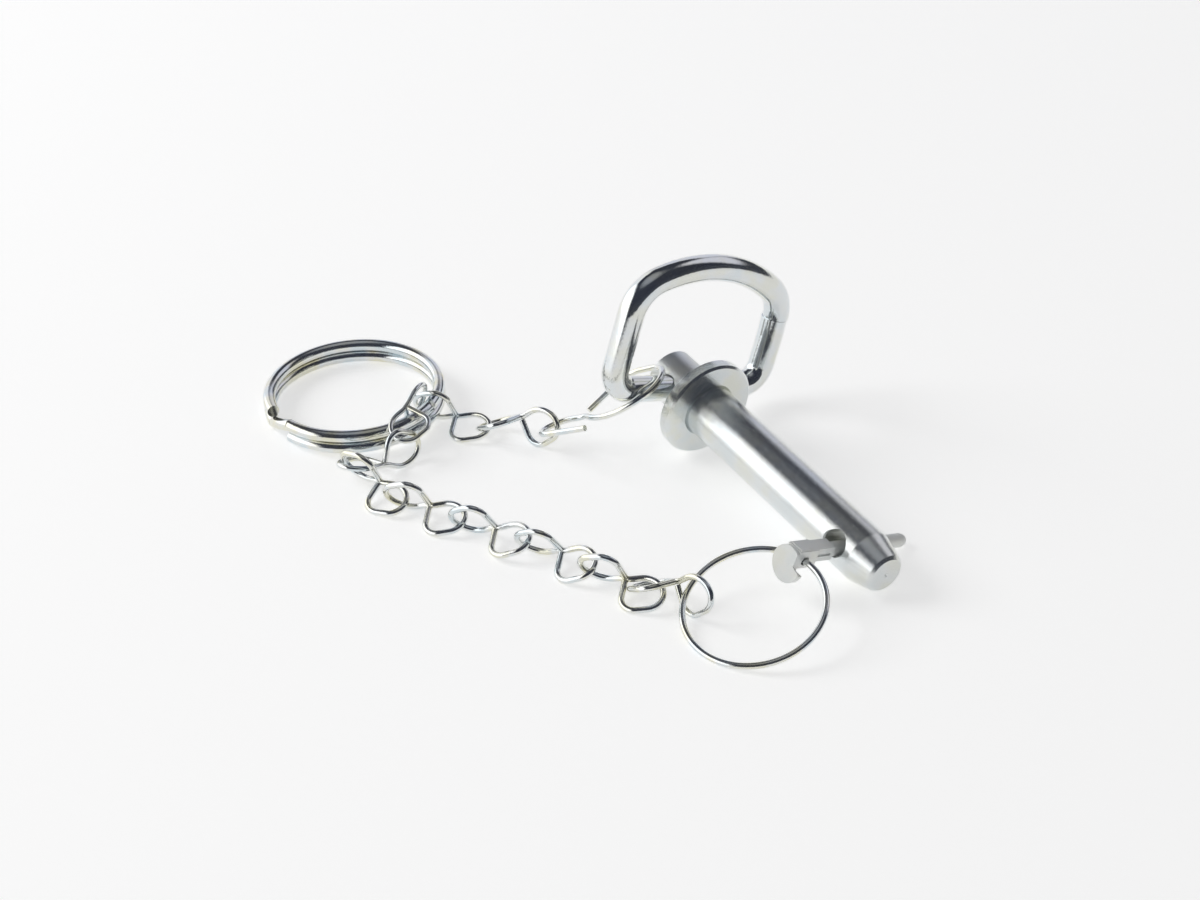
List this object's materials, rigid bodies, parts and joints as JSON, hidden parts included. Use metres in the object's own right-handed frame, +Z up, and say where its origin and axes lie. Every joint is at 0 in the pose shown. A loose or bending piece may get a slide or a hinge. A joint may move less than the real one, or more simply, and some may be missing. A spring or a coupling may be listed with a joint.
{
  "type": "hitch pin",
  "caption": "Steel hitch pin with a bail handle, a linchpin on its spring ring, a single jack chain and a split ring, bright zinc plated.",
  "frame": {"origin": "on the table, under the centre of the whole laid-out set", "axes": "+X along the pin's heading towards its nose, +Z up from the table; the pin lies on its collar's rim and its nose"},
  "size_m": [0.2391, 0.1706, 0.0715],
  "materials": {
    "zinc_bar": "zinc plated, slightly grainy",
    "zinc_bright": "bright zinc plated",
    "zinc_rod": "bright zinc plated",
    "zinc_dull": "zinc plated, brushed and stamped",
    "zinc_wire": "bright zinc plated"
  },
  "bodies": {
    "pin": {"pin_bar": "zinc_bar", "collar": "zinc_bright"},
    "handle": {"handle": "zinc_rod"},
    "linchpin": {"linchpin": "zinc_dull"},
    "linchpin_ring": {"linchpin_ring": "zinc_wire"},
    "split_ring": {"split_ring": "zinc_wire"},
    "link_01": {"chain_link_01": "zinc_wire"},
    "link_02": {"chain_link_02": "zinc_wire"},
    "link_03": {"chain_link_03": "zinc_wire"},
    "link_04": {"chain_link_04": "zinc_wire"},
    "link_05": {"chain_link_05": "zinc_wire"},
    "link_06": {"chain_link_06": "zinc_wire"},
    "link_07": {"chain_link_07": "zinc_wire"},
    "link_08": {"chain_link_08": "zinc_wire"},
    "link_09": {"chain_link_09": "zinc_wire"},
    "link_10": {"chain_link_10": "zinc_wire"},
    "link_11": {"chain_link_11": "zinc_wire"}
  },
  "joints": [
    {"name": "handle_swing", "type": "hinge", "parent": "pin", "child": "handle", "pos_m": [-0.00723, 0.03877, 0.01927], "axis": [-0.0307, 0.9455, -0.3241], "range_deg": [-75, 75]},
    {"name": "linchpin_pull", "type": "slide", "parent": "pin", "child": "linchpin", "axis": [0.0291, -0.9511, 0.3076], "range_m": [0, 0.066]},
    {"name": "ring_flip", "type": "hinge", "parent": "linchpin", "child": "linchpin_ring", "pos_m": [0.08942, 0.01517, 0.01518], "axis": [-0.9659, -0.2588, 0], "range_deg": [0, 119]},
    {"name": "link_11_swing", "type": "hinge", "parent": "pin", "child": "link_11", "pos_m": [-0.00723, 0.03877, 0.01927], "axis": [-0.0307, 0.9455, -0.3241], "range_deg": [-45, 45]},
    {"name": "link_10_swing", "type": "hinge", "parent": "link_11", "child": "link_10", "pos_m": [-0.02344, -0.00201, 0.00952], "axis": [0, 0, 1], "range_deg": [-1.65, 0.99]},
    {"name": "link_09_swing", "type": "hinge", "parent": "link_10", "child": "link_09", "pos_m": [-0.0466, -0.01977, 0.00384], "axis": [0, 0, 1], "range_deg": [-4.05, 2.43]},
    {"name": "link_08_swing", "type": "hinge", "parent": "link_09", "child": "link_08", "pos_m": [-0.06732, -0.03639, 0.00668], "axis": [0, 0, 1], "range_deg": [-1.35, 0.81]},
    {"name": "link_07_swing", "type": "hinge", "parent": "link_08", "child": "link_07", "pos_m": [-0.04552, -0.04977, 0.00993], "axis": [0, 0, 1], "range_deg": [-9, 15]},
    {"name": "link_06_swing", "type": "hinge", "parent": "link_07", "child": "link_06", "pos_m": [-0.04813, -0.07774, 0.00762], "axis": [0, 0, 1], "range_deg": [-3.6, 2.16]},
    {"name": "link_05_swing", "type": "hinge", "parent": "link_06", "child": "link_05", "pos_m": [-0.02094, -0.06767, 0.00289], "axis": [0, 0, 1], "range_deg": [-1.2, 0.72]},
    {"name": "link_04_swing", "type": "hinge", "parent": "link_05", "child": "link_04", "pos_m": [0.00008, -0.05852, 0.00343], "axis": [0, 0, 1], "range_deg": [-6.75, 4.05]},
    {"name": "link_03_swing", "type": "hinge", "parent": "link_04", "child": "link_03", "pos_m": [0.02386, -0.04792, 0.00863], "axis": [0, 0, 1], "range_deg": [-0.45, 0.75]},
    {"name": "link_02_swing", "type": "hinge", "parent": "link_03", "child": "link_02", "pos_m": [0.04741, -0.03847, 0.005], "axis": [0, 0, 1], "range_deg": [-1.08, 1.8]},
    {"name": "link_01_swing", "type": "hinge", "parent": "link_02", "child": "link_01", "pos_m": [0.05982, -0.03118, 0.00335], "axis": [0, 0, 1], "range_deg": [-0.63, 1.05]},
    {"name": "split_ring_turn", "type": "hinge", "parent": "link_09", "child": "split_ring", "pos_m": [-0.08635, -0.05213, 0.00332], "axis": [-0.0288, -0.0195, 0.9994], "range_deg": [-180, 180]}
  ],
  "couplings": [
    {"joint": "link_10_swing", "follows": "link_07_swing", "ratio": -0.11},
    {"joint": "link_09_swing", "follows": "link_07_swing", "ratio": -0.27},
    {"joint": "link_08_swing", "follows": "link_07_swing", "ratio": -0.09},
    {"joint": "link_06_swing", "follows": "link_07_swing", "ratio": -0.24},
    {"joint": "link_05_swing", "follows": "link_07_swing", "ratio": -0.08},
    {"joint": "link_04_swing", "follows": "link_07_swing", "ratio": -0.45},
    {"joint": "link_03_swing", "follows": "link_07_swing", "ratio": 0.05},
    {"joint": "link_02_swing", "follows": "link_07_swing", "ratio": 0.12},
    {"joint": "link_01_swing", "follows": "link_07_swing", "ratio": 0.07}
  ]
}
